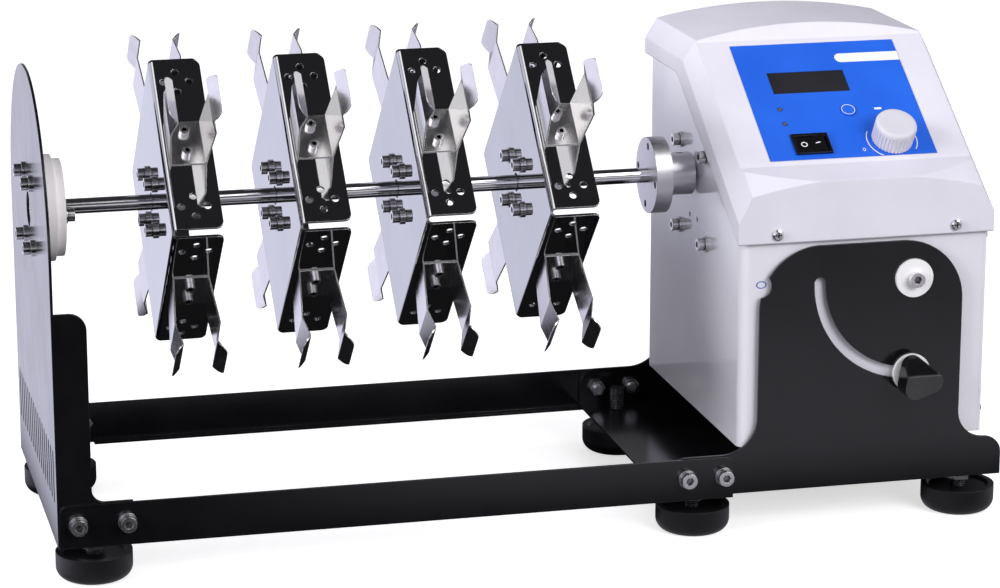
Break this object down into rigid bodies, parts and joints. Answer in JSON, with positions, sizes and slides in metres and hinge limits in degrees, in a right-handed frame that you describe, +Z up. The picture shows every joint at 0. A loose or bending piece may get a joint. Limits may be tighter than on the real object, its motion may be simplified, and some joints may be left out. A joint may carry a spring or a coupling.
{
  "type": "laboratory tube rotator",
  "caption": "Bench rotator: a geared drive head clamped in a tilt yoke turns a long shaft of square spring-clip tube holders carried by an end support.",
  "frame": {"origin": "on the bench under the middle of the part's box", "axes": "+X along the shaft from the end support to the drive head, -Y to the front with the sloping panel, +Z up"},
  "size_m": [0.5354, 0.213, 0.2652],
  "materials": {
    "black_coat": "satin",
    "white_coat": "satin",
    "hood_plastic": "satin",
    "nylon": "matt",
    "polished_steel": "polished",
    "spring_steel": "satin",
    "screw_steel": "bright",
    "bearing_steel": "satin",
    "machined_aluminium": "machined",
    "black_rubber": "matt",
    "panel_blue": "satin",
    "display_black": "gloss",
    "lens_red": "gloss",
    "board_green": "satin",
    "switch_black": "gloss",
    "knob_grey": "matt",
    "pot_metal": "satin",
    "gearbox_metal": "cast",
    "motor_steel": "satin",
    "armature": "satin",
    "gear_brass": "machined"
  },
  "bodies": {
    "base": {"yoke": "black_coat", "front_rail": "black_coat", "rear_rail": "black_coat", "end_support": "black_coat", "bearing_block": "nylon", "end_bearing": "bearing_steel", "bearing_screws": "screw_steel", "rail_screws": "screw_steel", "rail_nuts": "screw_steel", "foot_nuts": "screw_steel", "head_shell": "white_coat", "right_cover": "white_coat", "bottom_plate": "white_coat", "hood": "hood_plastic", "cover_screws": "screw_steel", "control_panel": "panel_blue", "display_window": "display_black", "display_board": "board_green", "indicator_lights": "lens_red", "switch_body": "switch_black", "potentiometer": "pot_metal", "power_inlet": "switch_black", "gearbox_case": "gearbox_metal", "gearbox_lid": "gearbox_metal", "motor_can": "motor_steel", "motor_screws": "screw_steel", "pivot_bolts": "screw_steel", "pivot_nuts": "screw_steel", "nylon_washers": "nylon", "clamp_stud": "screw_steel"},
    "rotor": {"output_shaft": "bearing_steel", "drive_hub": "machined_aluminium", "hub_set_screws": "screw_steel", "rotor_shaft": "bearing_steel", "holder_1": "polished_steel", "holder_2": "polished_steel", "holder_3": "polished_steel", "holder_4": "polished_steel", "holder_hubs": "machined_aluminium", "holder_screws": "screw_steel", "clips_1": "spring_steel", "clips_2": "spring_steel", "clips_3": "spring_steel", "clips_4": "spring_steel", "clip_screws": "screw_steel"},
    "clamp_knob": {"clamp_knob": "switch_black"},
    "speed_knob": {"speed_knob": "knob_grey"},
    "rocker": {"rocker": "switch_black"},
    "mode_button": {"mode_button": "panel_blue"},
    "motor_rotor": {"motor_rotor": "armature"},
    "idler_gear": {"idler_gear": "gear_brass"},
    "foot_1": {"foot_1": "black_rubber"},
    "foot_2": {"foot_2": "black_rubber"},
    "foot_3": {"foot_3": "black_rubber"},
    "foot_4": {"foot_4": "black_rubber"},
    "foot_5": {"foot_5": "black_rubber"},
    "foot_6": {"foot_6": "black_rubber"}
  },
  "joints": [
    {"name": "rotor_spin", "type": "hinge", "parent": "base", "child": "rotor", "pos_m": [-0.0612, 0.0058, 0.1845], "axis": [1, 0, 0], "continuous": true},
    {"name": "idler_spin", "type": "hinge", "parent": "base", "child": "idler_gear", "pos_m": [0.1288, 0.01981, 0.17915], "axis": [1, 0, 0], "continuous": true},
    {"name": "motor_spin", "type": "hinge", "parent": "base", "child": "motor_rotor", "pos_m": [0.1688, 0.0058, 0.1738], "axis": [1, 0, 0], "continuous": true},
    {"name": "speed_knob_turn", "type": "hinge", "parent": "base", "child": "speed_knob", "pos_m": [0.20985, -0.05238, 0.21083], "axis": [0, -0.5476, 0.8368], "range_deg": [-280, 0]},
    {"name": "rocker_swing", "type": "hinge", "parent": "base", "child": "rocker", "pos_m": [0.16275, -0.05209, 0.20875], "axis": [0, 0.8368, 0.5476], "range_deg": [0, 16]},
    {"name": "mode_button_press", "type": "slide", "parent": "base", "child": "mode_button", "axis": [0, 0.5476, -0.8368], "range_m": [0, 0.0006], "stiffness_N_per_m": 400, "springref_m": -0.0005},
    {"name": "clamp_knob_turn", "type": "hinge", "parent": "base", "child": "clamp_knob", "pos_m": [0.2118, -0.0942, 0.0863], "axis": [0, -1, 0], "range_deg": [0, 360]},
    {"name": "foot_1_turn", "type": "hinge", "parent": "base", "child": "foot_1", "pos_m": [-0.2407, -0.0712, 0], "axis": [0, 0, 1], "range_deg": [-360, 360]},
    {"name": "foot_2_turn", "type": "hinge", "parent": "base", "child": "foot_2", "pos_m": [-0.2407, 0.0828, 0], "axis": [0, 0, 1], "range_deg": [-360, 360]},
    {"name": "foot_3_turn", "type": "hinge", "parent": "base", "child": "foot_3", "pos_m": [0.0916, -0.0712, 0], "axis": [0, 0, 1], "range_deg": [-360, 360]},
    {"name": "foot_4_turn", "type": "hinge", "parent": "base", "child": "foot_4", "pos_m": [0.0916, 0.0828, 0], "axis": [0, 0, 1], "range_deg": [-360, 360]},
    {"name": "foot_5_turn", "type": "hinge", "parent": "base", "child": "foot_5", "pos_m": [0.2481, -0.0712, 0], "axis": [0, 0, 1], "range_deg": [-360, 360]},
    {"name": "foot_6_turn", "type": "hinge", "parent": "base", "child": "foot_6", "pos_m": [0.2481, 0.0828, 0], "axis": [0, 0, 1], "range_deg": [-360, 360]}
  ],
  "couplings": [
    {"joint": "idler_spin", "follows": "rotor_spin", "ratio": -3},
    {"joint": "motor_spin", "follows": "rotor_spin", "ratio": 9}
  ]
}
